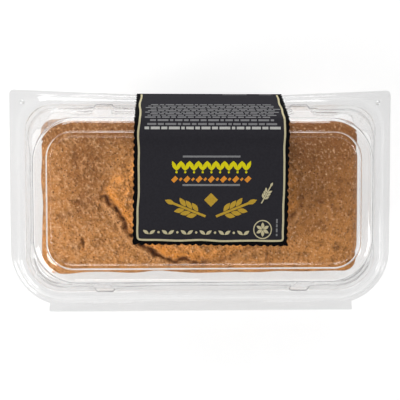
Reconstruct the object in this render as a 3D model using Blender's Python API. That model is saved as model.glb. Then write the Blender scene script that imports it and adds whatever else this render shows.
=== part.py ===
"""A pound cake loaf in its shut clear clamshell, sealed by a paper label.

Metres, +Z up. The pack stands on z = 0 with its long side along X. Its folded hinge strip is at the
front (-Y) and its opening edge, which the label seals, is at the back (+Y).
"""

import math
from collections import namedtuple

import bmesh
import bpy
from mathutils import Vector, noise

# The clamshell: one thin sheet, formed into a tray and a lid and folded shut
SHEET = 0.0005
CLEARANCE = 0.0003
SEAM_HEIGHT = 0.0380
FLANGE_LENGTH = 0.2360
FLANGE_DEPTH = 0.1336
FLANGE_FRONT_RADIUS = 0.0340
STRIP_REACH = 0.0040
TOTAL_DEPTH = FLANGE_DEPTH + STRIP_REACH
CENTRE_Y = (TOTAL_DEPTH - FLANGE_DEPTH) / 2
LID_RISE = 0.0400
LID_TOP = SEAM_HEIGHT + LID_RISE

# The lid's round upper edge: its size where the sheet is steepest, and the tilts it passes in degrees
EDGE_LENGTH = 0.1966
EDGE_DEPTH = 0.0952
EDGE_DROP = 0.0063
EDGE_CORNER_RADIUS = 0.0250
EDGE_RADIUS = 0.00425
EDGE_TILTS = (14, 37, 60, 84)

# Each corner of the sheet is an arc in even steps. The hinge strip ends two steps into the front arcs
CORNER_STEPS = 10
STRIP_STEPS = 2

# The label sits a little right of the middle. The flange's back edge runs in towards it
LABEL_X = 0.0037
PULLED_HALF_WIDTH = 0.0475
BOW = 0.0030
FLANGE_BACK_RADIUS = 0.0030

# The snap buttons on the foot of the lid, and the studs in its back corners
SNAP_X = 0.0595
SNAP_FROM_CENTRE = 0.0556
SNAP_SIZE = (0.0100, 0.0034, 0.0072)
SNAP_LIFT = 0.0060
SNAP_ROUNDING = 0.0007
STUD_X = 0.1100
STUD_FROM_CENTRE = 0.0590
STUD_RADIUS = 0.0014

# The cake: a loaf that widens upward from its base to a crust rim, with a domed top
CAKE_MIDDLE = (-0.0009, CENTRE_Y + 0.0010)
CAKE_BASE_LENGTH = 0.1730
CAKE_BASE_DEPTH = 0.0722
CAKE_RIM_LENGTH = 0.1937
CAKE_RIM_DEPTH = 0.0936
CAKE_RIM_RADIUS = 0.0085
CAKE_EDGE_HEIGHT = 0.0420
CAKE_DOME = 0.0120
CAKE_COLUMNS = 70
CAKE_ROWS = 34
CAKE_SIDE_STEPS = 7
CRUST_SHOULDER = 0.0050
DOME_POWER_ALONG = 4.5
DOME_POWER_ACROSS = 2.6
DOME_FULLNESS = 0.8
CRUMB_LUMPS = (0.0009, 0.007)
CRUST_SWELL = (0.0012, 0.028)
BELLY = 0.0010
SIDE_WOBBLE = 0.0007

# The split in the crust: a low bloom of crumb in an uneven oval, half ringed by a crack
BLOOM_CENTRE = (0.0000, -0.0040)
BLOOM_HALF_SIZE = (0.0590, 0.0345)
BLOOM_LIFT = 0.0014
CRACK_DEPTH = 0.0020
CRACK_WIDTH = 0.0026
CRACK_FADE = 0.65

# Soft hollows in the crust: place from the cake's middle, half size and depth
DENTS = (
    ((-0.071, -0.003), (0.005, 0.004), 0.0010),
    ((-0.069, -0.027), (0.003, 0.008), 0.0012),
    ((-0.075, 0.031), (0.005, 0.008), 0.0012),
    ((0.062, -0.006), (0.010, 0.004), 0.0010),
)

# The paper label, stuck to the lid's top and drawn down over the back edge to the tray
PAPER = 0.00025
LABEL_WIDTH = 0.0888
LABEL_FRONT = 0.0133
LABEL_TURN = math.tan(math.radians(0.9))
LABEL_COLUMNS = 6
LABEL_TAIL_TOUCH = 0.0130
LABEL_TAIL_END = 0.0050
WALL_STANDOFF = 0.00092
LABEL_TILTS = (20, 42, 64)
LABEL_EDGE_LIFT = SHEET + CLEARANCE + 0.00012

Ring = namedtuple("Ring", "length depth front_radius back_radius height bow")
FLANGE = (FLANGE_LENGTH, FLANGE_DEPTH, FLANGE_FRONT_RADIUS, FLANGE_BACK_RADIUS)

# The tray's inner face, from the edge of the raised floor panel out to the rim of the flange
TRAY_FLOOR = 0.0025
TRAY_WALL_FOOT = Ring(0.1820, 0.0800, 0.0160, 0.0160, 0.0022, 0.0)
TRAY_LEDGE = Ring(0.2092, 0.1062, 0.0195, 0.0150, SEAM_HEIGHT - 0.0075, 0.0)
TRAY_RINGS = (
    Ring(0.1660, 0.0640, 0.0100, 0.0100, TRAY_FLOOR, 0.0),
    Ring(0.1690, 0.0670, 0.0110, 0.0110, SHEET, 0.0),
    Ring(0.1780, 0.0760, 0.0140, 0.0140, SHEET, 0.0),
    TRAY_WALL_FOOT,
    TRAY_LEDGE,
    Ring(0.2110, 0.1080, 0.0200, 0.0155, SEAM_HEIGHT - 0.0070, 0.0002),
    Ring(0.2152, 0.1135, 0.0220, 0.0157, SEAM_HEIGHT, 0.0005),
    Ring(0.2192, 0.1175, 0.0240, 0.0172, SEAM_HEIGHT + 0.0017, 0.0007),
    Ring(0.2244, 0.1226, 0.0272, 0.0185, SEAM_HEIGHT + 0.0017, 0.0012),
    Ring(0.2268, 0.1250, 0.0285, 0.0186, SEAM_HEIGHT - CLEARANCE / 2, 0.0014),
    Ring(*FLANGE, SEAM_HEIGHT - CLEARANCE / 2, BOW),
)

def edge_centre():
    """Centre of the arc of the lid's round edge, from the pack's middle line and from the ground."""
    steepest = math.radians(EDGE_TILTS[-1])
    return (EDGE_DEPTH / 2 - EDGE_RADIUS * math.sin(steepest),
            LID_TOP - EDGE_DROP - EDGE_RADIUS * math.cos(steepest))


def edge_ring(tilt):
    """The ring of the lid's round edge where the sheet has tilted by so many degrees."""
    middle, level = edge_centre()
    angle = math.radians(tilt)
    inward = EDGE_DEPTH / 2 - middle - EDGE_RADIUS * math.sin(angle)
    radius = EDGE_CORNER_RADIUS - inward
    return Ring(EDGE_LENGTH - 2 * inward, EDGE_DEPTH - 2 * inward, radius, radius,
                level + EDGE_RADIUS * math.cos(angle), 0.0)


# The lid's inner face, from the edge of the sunk top panel out to the rim of the flange
LID_PANEL_DROP = 0.0012
LID_PANEL = Ring(0.1742, 0.0727, 0.0125, 0.0125, LID_TOP - SHEET - LID_PANEL_DROP, 0.0)
LID_EDGE = Ring(0.1792, 0.0777, 0.0148, 0.0148, LID_TOP - SHEET, 0.0)
LID_RINGS = (
    LID_PANEL,
    Ring(0.1757, 0.0742, 0.0130, 0.0130, LID_TOP - SHEET, 0.0),
    LID_EDGE,
    Ring(0.1806, 0.0791, 0.0155, 0.0155, LID_TOP - SHEET - 0.0010, 0.0),
    *[edge_ring(tilt) for tilt in EDGE_TILTS],
    Ring(0.2160, 0.1143, 0.0224, 0.0160, SEAM_HEIGHT + 0.0010, 0.0005),
    Ring(0.2185, 0.1168, 0.0236, 0.0170, SEAM_HEIGHT + 0.0020, 0.0007),
    Ring(0.2250, 0.1232, 0.0275, 0.0186, SEAM_HEIGHT + 0.0020, 0.0012),
    Ring(0.2274, 0.1256, 0.0288, 0.0187, SEAM_HEIGHT + CLEARANCE / 2, 0.0014),
    Ring(*FLANGE, SEAM_HEIGHT + CLEARANCE / 2, BOW),
)

# Colour (linear red, green, blue), roughness and alpha of each material
CRUST_LOOK = ((0.47, 0.20, 0.065), 0.62, 1.0)
CLEAR_LOOK = ((0.93, 0.94, 0.95), 0.08, 0.30)
LABEL_LOOK = ((0.016, 0.017, 0.020), 0.45, 1.0)


def smoothstep(low, high, value):
    """0 at low, 1 at high and an S curve between them."""
    share = min(1.0, max(0.0, (value - low) / (high - low)))
    return share * share * (3 - 2 * share)


def make_material(name, look):
    colour, roughness, alpha = look
    material = bpy.data.materials.new(name)
    material.use_nodes = True
    shader = material.node_tree.nodes["Principled BSDF"]
    shader.inputs["Base Color"].default_value = (*colour, 1.0)
    shader.inputs["Roughness"].default_value = roughness
    shader.inputs["Metallic"].default_value = 0.0
    shader.inputs["Alpha"].default_value = alpha
    return material


def make_object(name, bm, look):
    """Turn a bmesh into a named object with a material of its own."""
    mesh = bpy.data.meshes.new(name)
    bm.to_mesh(mesh)
    bm.free()
    mesh.shade_smooth()
    mesh.set_sharp_from_angle(angle=math.radians(35))
    obj = bpy.data.objects.new(name, mesh)
    obj.data.materials.append(make_material(name, look))
    bpy.context.collection.objects.link(obj)
    return obj


def thicken(obj, thickness, offset):
    """Give a surface a thickness, on the side that offset names."""
    solidify = obj.modifiers.new("Sheet", "SOLIDIFY")
    solidify.thickness = thickness
    solidify.offset = offset
    solidify.use_even_offset = True


def ring_points(ring):
    """Points once round a ring, anticlockwise from its back right corner."""
    half_length = ring.length / 2
    half_depth = ring.depth / 2
    corners = ((1, 1), (-1, 1), (-1, -1), (1, -1))
    points = []
    for quarter, (side_x, side_y) in enumerate(corners):
        radius = ring.back_radius if side_y > 0 else ring.front_radius
        middle_x = side_x * (half_length - radius)
        middle_y = side_y * (half_depth - radius)
        for step in range(CORNER_STEPS + 1):
            angle = math.pi / 2 * (quarter + step / CORNER_STEPS)
            points.append((middle_x + radius * math.cos(angle), middle_y + radius * math.sin(angle)))
        if quarter == 0:
            points.append((LABEL_X + PULLED_HALF_WIDTH, half_depth))
            points.append((LABEL_X - PULLED_HALF_WIDTH, half_depth))
    return [pull_in(ring, x, y) for x, y in points]


def pull_in(ring, x, y):
    """Move a point of the back edge in towards the label and raise it to the ring's height."""
    run = ring.length / 2 - PULLED_HALF_WIDTH - math.copysign(LABEL_X, x)
    along = min(1.0, max(0.0, (ring.length / 2 - abs(x)) / run))
    at_back = max(0.0, y / (ring.depth / 2)) ** 6
    return Vector((x, CENTRE_Y + y - ring.bow * along * at_back, ring.height))


def extrude_ring(bm, rim, points):
    """Extrude a closed rim of vertices outward to the next ring of points."""
    edges = [bm.edges.get((a, b)) for a, b in zip(rim, rim[1:] + rim[:1])]
    made = set(bmesh.ops.extrude_edge_only(bm, edges=edges)["geom"])
    following = []
    for vert, point in zip(rim, points):
        mate = next(e.other_vert(vert) for e in vert.link_edges if e.other_vert(vert) in made)
        mate.co = point
        following.append(mate)
    return following


def formed_half(bm, rings):
    """One half of the clamshell, grown ring by ring from its flat panel to its rim."""
    rim = [bm.verts.new(point) for point in ring_points(rings[0])]
    bm.faces.new(rim)
    for ring in rings[1:]:
        rim = extrude_ring(bm, rim, ring_points(ring))
    return rim


def extrude_strip(bm, rim):
    """The straight front strip beyond the flange, and its front edges for the fold."""
    turn = math.pi / 2 * STRIP_STEPS / CORNER_STEPS
    reach = FLANGE_LENGTH / 2 - FLANGE_FRONT_RADIUS * (1 - math.sin(turn)) + CLEARANCE
    edges = []
    for a, b in zip(rim, rim[1:] + rim[:1]):
        if max(abs(a.co.x), abs(b.co.x)) < reach and max(a.co.y, b.co.y) < 0:
            edges.append(bm.edges.get((a, b)))
    made = bmesh.ops.extrude_edge_only(bm, edges=edges)["geom"]
    for vert in (item for item in made if isinstance(item, bmesh.types.BMVert)):
        vert.co.y = SHEET - TOTAL_DEPTH / 2
    return [item for item in made if isinstance(item, bmesh.types.BMEdge)
            and all(v.co.y < SHEET * 2 - TOTAL_DEPTH / 2 for v in item.verts)]


def rounded_block(size, centre, rounding):
    """A small block with rounded edges, for a snap button."""
    bm = bmesh.new()
    bmesh.ops.create_cube(bm, size=1.0)
    bmesh.ops.scale(bm, vec=size, verts=bm.verts)
    bmesh.ops.bevel(bm, geom=bm.edges, offset=rounding, segments=2, profile=0.5, affect="EDGES")
    bmesh.ops.translate(bm, vec=centre, verts=bm.verts)
    return bm


def button_solids():
    """The four snap buttons and the two corner studs."""
    solids = []
    for side_x in (-1, 1):
        for side_y in (-1, 1):
            centre = (side_x * SNAP_X, CENTRE_Y + side_y * SNAP_FROM_CENTRE, SEAM_HEIGHT + SNAP_LIFT)
            solids.append(rounded_block(SNAP_SIZE, centre, SNAP_ROUNDING))
        bm = bmesh.new()
        bmesh.ops.create_uvsphere(bm, u_segments=12, v_segments=8, radius=STUD_RADIUS)
        place = (side_x * STUD_X, CENTRE_Y + STUD_FROM_CENTRE, SEAM_HEIGHT + SHEET)
        bmesh.ops.translate(bm, vec=place, verts=bm.verts)
        solids.append(bm)
    return solids


def make_clamshell():
    """Tray and lid as one sheet, joined along the fold at the front."""
    bm = bmesh.new()
    tray_edges = extrude_strip(bm, formed_half(bm, TRAY_RINGS))
    lid_edges = extrude_strip(bm, formed_half(bm, LID_RINGS))
    bmesh.ops.bridge_loops(bm, edges=tray_edges + lid_edges)
    bmesh.ops.recalc_face_normals(bm, faces=bm.faces)
    floor_panel = next(f for f in bm.faces if len(f.verts) > 4 and f.calc_center_median().z < SEAM_HEIGHT)
    if floor_panel.normal.z < 0:
        bmesh.ops.reverse_faces(bm, faces=bm.faces)
    clamshell = make_object("clamshell", bm, CLEAR_LOOK)
    thicken(clamshell, SHEET, -1)

    buttons = bpy.data.collections.new("buttons")
    for number, solid in enumerate(button_solids()):
        mesh = bpy.data.meshes.new(f"button_{number}")
        solid.to_mesh(mesh)
        solid.free()
        buttons.objects.link(bpy.data.objects.new(f"button_{number}", mesh))
    join_all(clamshell, buttons)
    return clamshell


def join_all(obj, solids):
    """Fuse a collection of solids to an object, then clear the collection away."""
    bpy.context.scene.collection.children.link(solids)
    union = obj.modifiers.new("Buttons", "BOOLEAN")
    union.operation = "UNION"
    union.solver = "EXACT"
    union.operand_type = "COLLECTION"
    union.collection = solids
    depsgraph = bpy.context.evaluated_depsgraph_get()
    fused = bpy.data.meshes.new_from_object(obj.evaluated_get(depsgraph))
    obj.modifiers.clear()
    obj.data = fused
    for solid in list(solids.objects):
        bpy.data.objects.remove(solid)
    bpy.data.collections.remove(solids)


def round_corner(x, y, half_length, half_depth, radius):
    """Move a point of a rectangle's grid so that the rectangle's corners become round."""
    beyond_x = abs(x) - (half_length - radius)
    beyond_y = abs(y) - (half_depth - radius)
    if beyond_x <= 0 or beyond_y <= 0:
        return x, y
    share = max(beyond_x, beyond_y) / math.hypot(beyond_x, beyond_y)
    new_x = math.copysign(half_length - radius + beyond_x * share, x)
    new_y = math.copysign(half_depth - radius + beyond_y * share, y)
    return new_x, new_y


def bloom_edge(x, y):
    """Distance from the bloom's uneven edge, below 0 inside it, and the bearing from its middle."""
    across = (x - BLOOM_CENTRE[0]) / BLOOM_HALF_SIZE[0]
    along = (y - BLOOM_CENTRE[1]) / BLOOM_HALF_SIZE[1]
    bearing = math.atan2(along, across)
    front_lobe = 0.07 * math.exp(-((bearing + 1.75) / 0.38) ** 2)
    lobes = 0.04 * math.sin(3 * bearing + 0.6) + 0.03 * math.sin(7 * bearing + 2.2)
    ragged = 0.07 * noise.noise(Vector((x, y, 0.0)) / 0.011)
    reach = math.hypot(across, along) + lobes + ragged - front_lobe
    slope = math.hypot(math.cos(bearing) / BLOOM_HALF_SIZE[0], math.sin(bearing) / BLOOM_HALF_SIZE[1])
    return (reach - 1) / slope, bearing


def dent(x, y, place, size, depth):
    """A soft hollow in the crust."""
    away = math.hypot((x - place[0]) / size[0], (y - place[1]) / size[1])
    return depth * math.exp(-away * away)


def edge_distance(x, y):
    """Distance of a place on the top crust from the loaf's rim."""
    from_end = CAKE_RIM_LENGTH / 2 - abs(x)
    from_side = CAKE_RIM_DEPTH / 2 - abs(y)
    if max(from_end, from_side) < CAKE_RIM_RADIUS:
        return CAKE_RIM_RADIUS - math.hypot(CAKE_RIM_RADIUS - from_end, CAKE_RIM_RADIUS - from_side)
    return min(from_end, from_side)


def crust_height(x, y):
    """Height of the top crust above its rim, at a place measured from the cake's middle."""
    along = abs(x) / (CAKE_RIM_LENGTH / 2)
    across = abs(y) / (CAKE_RIM_DEPTH / 2)
    arch = max(0.0, 1 - along ** DOME_POWER_ALONG) * max(0.0, 1 - across ** DOME_POWER_ACROSS)
    arch = arch ** DOME_FULLNESS
    away, bearing = bloom_edge(x, y)
    open_side = 0.35 + 0.65 * smoothstep(CRACK_FADE, -CRACK_FADE, math.sin(bearing))
    lift = BLOOM_LIFT * smoothstep(0.002, -0.010, away)
    crack = CRACK_DEPTH * open_side * math.exp(-(away / CRACK_WIDTH) ** 2)
    lumps = CRUMB_LUMPS[0] * noise.noise(Vector((x, y, 0.003)) / CRUMB_LUMPS[1])
    lumps *= smoothstep(0.002, -0.004, away)
    swell = CRUST_SWELL[0] * noise.noise(Vector((x, y, 0.007)) / CRUST_SWELL[1])
    hollows = sum(dent(x, y, *shape) for shape in DENTS)
    inland = smoothstep(0.0, 0.25, arch)
    return CAKE_DOME * arch + inland * (lift - crack + lumps + swell - hollows)


def side_wobble(x, y, height):
    """The small unevenness of the loaf's sides."""
    return SIDE_WOBBLE * noise.noise(Vector((x, y, height)) / 0.015)


def make_cake():
    """The loaf: a gridded top crust, with its sides drawn down ring by ring to a flat base."""
    base = TRAY_FLOOR + CLEARANCE
    rim_height = base + CAKE_EDGE_HEIGHT
    half_length = CAKE_RIM_LENGTH / 2
    half_depth = CAKE_RIM_DEPTH / 2
    bm = bmesh.new()
    bmesh.ops.create_grid(bm, x_segments=CAKE_COLUMNS, y_segments=CAKE_ROWS, size=0.5)
    for vert in bm.verts:
        x, y = round_corner(2 * vert.co.x * half_length, 2 * vert.co.y * half_depth,
                            half_length, half_depth, CAKE_RIM_RADIUS)
        outward = 1 - min(1.0, max(0.0, edge_distance(x, y)) / CRUST_SHOULDER)
        shoulder = CRUST_SHOULDER * (1 - math.sqrt(1 - outward ** 2)) / 2
        vert.co = (x, y, rim_height + crust_height(x, y) - shoulder)

    start = next(v for v in bm.verts if v.is_boundary)
    rim = ordered_rim(start)
    top = [vert.co.copy() for vert in rim]
    for step in range(1, CAKE_SIDE_STEPS + 1):
        share = step / CAKE_SIDE_STEPS
        rim = extrude_ring(bm, rim, [side_point(point, share, base) for point in top])
    bm.faces.new(rim)
    bmesh.ops.recalc_face_normals(bm, faces=bm.faces)
    bmesh.ops.translate(bm, vec=(*CAKE_MIDDLE, 0), verts=bm.verts)
    return make_object("cake", bm, CRUST_LOOK)


def ordered_rim(start):
    """The boundary vertices of a surface in order, from a first one."""
    rim = [start]
    before = None
    while True:
        here = rim[-1]
        steps = [e.other_vert(here) for e in here.link_edges if e.is_boundary]
        following = steps[0] if steps[0] is not before else steps[1]
        if following is start:
            return rim
        before = here
        rim.append(following)


def side_point(top, share, base):
    """A point of the loaf's side, a share of the way down from the rim to the base."""
    narrow_x = share * (CAKE_RIM_LENGTH - CAKE_BASE_LENGTH) / CAKE_RIM_LENGTH
    narrow_y = share * (CAKE_RIM_DEPTH - CAKE_BASE_DEPTH) / CAKE_RIM_DEPTH
    belly = BELLY * math.sin(math.pi * share)
    outward = Vector((top.x / CAKE_RIM_LENGTH, top.y / CAKE_RIM_DEPTH, 0.0)).normalized()
    place = Vector((top.x * (1 - narrow_x), top.y * (1 - narrow_y), top.z + (base - top.z) * share))
    bulge = (belly + side_wobble(*place)) * math.sin(math.pi * share)
    return place + outward * bulge


def label_path():
    """The label's inner face from front to back, as points in Y and Z."""
    panel = LID_PANEL.height + SHEET + CLEARANCE
    ridge = LID_TOP + CLEARANCE
    front = CENTRE_Y - LID_EDGE.depth / 2 + LABEL_FRONT
    lid_back = CENTRE_Y + LID_EDGE.depth / 2
    flange_back = CENTRE_Y + FLANGE_DEPTH / 2 - BOW + CLEARANCE
    flange_top = SEAM_HEIGHT + CLEARANCE / 2 + SHEET + CLEARANCE
    flange_under = SEAM_HEIGHT - CLEARANCE / 2 - SHEET - CLEARANCE
    return (
        (front, panel),
        (lid_back - 0.0065, panel),
        (lid_back - 0.0030, ridge),
        (lid_back - 0.0002, ridge),
        *[over_edge(tilt) for tilt in LABEL_TILTS],
        (flange_back, flange_top),
        (flange_back, flange_under),
        (tray_wall_y(LABEL_TAIL_TOUCH), LABEL_TAIL_TOUCH),
        (tray_wall_y(LABEL_TAIL_END), LABEL_TAIL_END),
    )


def over_edge(tilt):
    """Where the label's inner face passes over the lid's round edge, in Y and Z."""
    middle, level = edge_centre()
    angle = math.radians(tilt)
    reach = EDGE_RADIUS + LABEL_EDGE_LIFT
    return CENTRE_Y + middle + reach * math.sin(angle), level + reach * math.cos(angle)


def tray_wall_y(height):
    """Y of the tray's outer back wall at a height, with the label's clearance."""
    climb = (height - TRAY_WALL_FOOT.height) / (TRAY_LEDGE.height - TRAY_WALL_FOOT.height)
    half_depth = (TRAY_WALL_FOOT.depth + climb * (TRAY_LEDGE.depth - TRAY_WALL_FOOT.depth)) / 2
    return CENTRE_Y + half_depth + WALL_STANDOFF


def make_label():
    """A strip of paper over the lid and down the back, very slightly turned."""
    path = label_path()
    bm = bmesh.new()
    chain = [bm.verts.new((0.0, y, z)) for y, z in path]
    for a, b in zip(chain, chain[1:]):
        bm.edges.new((a, b))
    columns = [chain]
    for _ in range(LABEL_COLUMNS):
        columns.append(extrude_chain(bm, columns[-1]))
    for number, column in enumerate(columns):
        across = (number / LABEL_COLUMNS - 0.5) * LABEL_WIDTH
        for row, vert in enumerate(column):
            skew = -across * LABEL_TURN if row == 0 else 0.0
            vert.co.x = LABEL_X + across + (path[row][0] - CENTRE_Y) * LABEL_TURN
            vert.co.y += skew
    bmesh.ops.recalc_face_normals(bm, faces=bm.faces)
    top_face = max(bm.faces, key=lambda face: face.calc_center_median().z)
    if top_face.normal.z < 0:
        bmesh.ops.reverse_faces(bm, faces=bm.faces)
    label = make_object("label", bm, LABEL_LOOK)
    thicken(label, PAPER, 1)
    return label


def extrude_chain(bm, chain):
    """Extrude an open chain of vertices sideways and give back the new chain in order."""
    edges = [bm.edges.get((a, b)) for a, b in zip(chain, chain[1:])]
    made = set(bmesh.ops.extrude_edge_only(bm, edges=edges)["geom"])
    return [next(e.other_vert(v) for e in v.link_edges if e.other_vert(v) in made) for v in chain]


def main():
    for obj in list(bpy.data.objects):
        bpy.data.objects.remove(obj)
    make_clamshell()
    make_cake()
    make_label()


main()
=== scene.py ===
"""A pound cake loaf in its shut clear clamshell, sealed by a printed paper label.

Metres, +Z up. The pack stands on z = 0 with its long side along X. The folded hinge strip is at the
front (-Y) and the opening edge, which the label seals, is at the back (+Y).
"""

import math
from collections import namedtuple

import bmesh
import bpy
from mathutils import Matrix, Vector, kdtree, noise


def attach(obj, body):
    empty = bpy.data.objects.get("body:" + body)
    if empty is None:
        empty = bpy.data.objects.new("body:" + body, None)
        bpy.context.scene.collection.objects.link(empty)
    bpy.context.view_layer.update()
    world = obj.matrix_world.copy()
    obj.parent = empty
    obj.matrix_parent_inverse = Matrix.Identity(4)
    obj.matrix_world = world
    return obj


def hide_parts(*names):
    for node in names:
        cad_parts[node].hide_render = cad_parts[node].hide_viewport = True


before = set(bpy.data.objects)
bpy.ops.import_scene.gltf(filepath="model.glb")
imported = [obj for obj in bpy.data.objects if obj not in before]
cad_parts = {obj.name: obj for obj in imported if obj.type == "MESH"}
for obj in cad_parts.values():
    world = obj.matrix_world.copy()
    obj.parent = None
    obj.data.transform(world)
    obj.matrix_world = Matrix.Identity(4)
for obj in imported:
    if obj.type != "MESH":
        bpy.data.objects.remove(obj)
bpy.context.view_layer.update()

# The clamshell: one thin sheet, formed into a tray and a lid and folded shut at the front
SHEET = 0.0005
SEAM_GAP = 0.0003
SEAM_HEIGHT = 0.0380
FLANGE_LENGTH = 0.2360
FLANGE_DEPTH = 0.1336
FLANGE_FRONT_RADIUS = 0.0340
TOTAL_DEPTH = FLANGE_DEPTH + 0.0040
CENTRE_Y = (TOTAL_DEPTH - FLANGE_DEPTH) / 2
LID_TOP = 0.0780
LID_PANEL_DROP = 0.0012
CORNER_STEPS = 30
STRIP_STEPS = 6
STRAIGHT_X = (-0.0720, -0.0300, -0.0150, 0.0150, 0.0300, 0.0720)
STRAIGHT_Y = (-0.0180, -0.0090, 0.0, 0.0090, 0.0180)
WAVER = 0.00012
BEND_REACH = 0.0010
FLANGE = (FLANGE_LENGTH, FLANGE_DEPTH, FLANGE_FRONT_RADIUS, 0.0030)
FLANGE_LIP = (FLANGE_LENGTH - 0.0005, FLANGE_DEPTH - 0.0005, FLANGE_FRONT_RADIUS - 0.00025, 0.00275)

# The lid's round upper edge: its size where the sheet is steepest, and the tilts it passes, in degrees
EDGE_LENGTH = 0.1966
EDGE_DEPTH = 0.0952
EDGE_DROP = 0.0063
EDGE_CORNER_RADIUS = 0.0250
EDGE_RADIUS = 0.00425
EDGE_TILTS = (14, 37, 60, 84)

# Four snap buttons are formed in the foot of the lid's wall, and a stud in each back corner
SNAP_X = 0.0595
SNAP_HALF_LENGTH = 0.0050
SNAP_FACE = 0.0568
SNAP_TOP = 0.0472
SNAP_FOOT = 0.0402
SNAP_STATIONS = (-0.0060, -0.0053, -0.0046, 0.0046, 0.0053, 0.0060)
SNAP_HEIGHTS = (0.0487, 0.0481, 0.0474, 0.0466, 0.0458, 0.0435, SNAP_FOOT, 0.0399)
STUD_PLACES = ((-0.1100, 0.0610), (0.1100, 0.0610))
STUD_RADIUS = 0.0014

# The flange's back edge is drawn in towards the label, which sits a little right of the middle
LABEL_X = 0.0037
PULLED_HALF_WIDTH = 0.0475
BOW = 0.0030

# The inner face of the sheet, from the middle of each half out to the rim of its flange
Ring = namedtuple("Ring", "length depth front_radius back_radius height bow")


def edge_centre():
    """Centre of the arc of the lid's round edge, from the pack's middle line and from the ground."""
    steepest = math.radians(EDGE_TILTS[-1])
    return (EDGE_DEPTH / 2 - EDGE_RADIUS * math.sin(steepest),
            LID_TOP - EDGE_DROP - EDGE_RADIUS * math.cos(steepest))


def edge_ring(tilt):
    """The ring of the lid's round edge where the sheet has tilted by so many degrees."""
    middle, level = edge_centre()
    angle = math.radians(tilt)
    inward = EDGE_DEPTH / 2 - middle - EDGE_RADIUS * math.sin(angle)
    radius = EDGE_CORNER_RADIUS - inward
    return Ring(EDGE_LENGTH - 2 * inward, EDGE_DEPTH - 2 * inward, radius, radius,
                level + EDGE_RADIUS * math.cos(angle), 0.0)


def over_edge(tilt):
    """Where the label's inner face passes over the lid's round edge, in Y and Z."""
    middle, level = edge_centre()
    angle = math.radians(tilt)
    reach = EDGE_RADIUS + SHEET + SEAM_GAP + 0.00012
    return CENTRE_Y + middle + reach * math.sin(angle), level + reach * math.cos(angle)


TRAY_RINGS = (
    Ring(0.1660, 0.0640, 0.0100, 0.0100, 0.0025, 0.0),
    Ring(0.1690, 0.0670, 0.0110, 0.0110, SHEET, 0.0),
    Ring(0.1780, 0.0760, 0.0140, 0.0140, SHEET, 0.0),
    Ring(0.1820, 0.0800, 0.0160, 0.0160, 0.0022, 0.0),
    Ring(0.2092, 0.1062, 0.0195, 0.0150, SEAM_HEIGHT - 0.0075, 0.0),
    Ring(0.2110, 0.1080, 0.0200, 0.0155, SEAM_HEIGHT - 0.0070, 0.0002),
    Ring(0.2152, 0.1135, 0.0220, 0.0157, SEAM_HEIGHT, 0.0005),
    Ring(0.2192, 0.1175, 0.0240, 0.0172, SEAM_HEIGHT + 0.0017, 0.0007),
    Ring(0.2226, 0.1208, 0.0262, 0.0181, SEAM_HEIGHT + 0.0017, 0.0010),
    Ring(0.2251, 0.1233, 0.0276, 0.0185, SEAM_HEIGHT + 0.0008, 0.0012),
    Ring(0.2273, 0.1255, 0.0287, 0.0187, SEAM_HEIGHT - SEAM_GAP / 2, 0.0014),
    Ring(*FLANGE_LIP, SEAM_HEIGHT - SEAM_GAP / 2, BOW),
    Ring(*FLANGE, SEAM_HEIGHT - SEAM_GAP / 2, BOW),
)
LID_RINGS = (
    Ring(0.1742, 0.0727, 0.0125, 0.0125, LID_TOP - SHEET - LID_PANEL_DROP, 0.0),
    Ring(0.1757, 0.0742, 0.0130, 0.0130, LID_TOP - SHEET, 0.0),
    Ring(0.1792, 0.0777, 0.0148, 0.0148, LID_TOP - SHEET, 0.0),
    Ring(0.1808, 0.0793, 0.0156, 0.0156, LID_TOP - SHEET - 0.0010, 0.0),
    *[edge_ring(tilt) for tilt in EDGE_TILTS],
    Ring(0.2160, 0.1143, 0.0224, 0.0160, SEAM_HEIGHT + 0.0010, 0.0005),
    Ring(0.2185, 0.1168, 0.0236, 0.0170, SEAM_HEIGHT + 0.0020, 0.0007),
    Ring(0.2228, 0.1210, 0.0262, 0.0181, SEAM_HEIGHT + 0.0020, 0.0010),
    Ring(0.2254, 0.1236, 0.0277, 0.0185, SEAM_HEIGHT + 0.0011, 0.0012),
    Ring(0.2276, 0.1258, 0.0288, 0.0187, SEAM_HEIGHT + SEAM_GAP / 2, 0.0014),
    Ring(*FLANGE_LIP, SEAM_HEIGHT + SEAM_GAP / 2, BOW),
    Ring(*FLANGE, SEAM_HEIGHT + SEAM_GAP / 2, BOW),
)

# The cake: a loaf that widens upward from its base to a crust rim, with a domed top
CAKE_MIDDLE = (-0.0009, CENTRE_Y + 0.0010)
CAKE_BASE = 0.0028
CAKE_BASE_LENGTH = 0.1730
CAKE_BASE_DEPTH = 0.0722
CAKE_RIM_LENGTH = 0.1937
CAKE_RIM_DEPTH = 0.0936
CAKE_RIM_RADIUS = 0.0085
CAKE_RIM_HEIGHT = CAKE_BASE + 0.0420
CAKE_DOME = 0.0120
CRUST_SHOULDER = 0.0050
CAKE_COLUMNS = 340
CAKE_ROWS = 164
CAKE_SIDE_STEPS = 24

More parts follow.
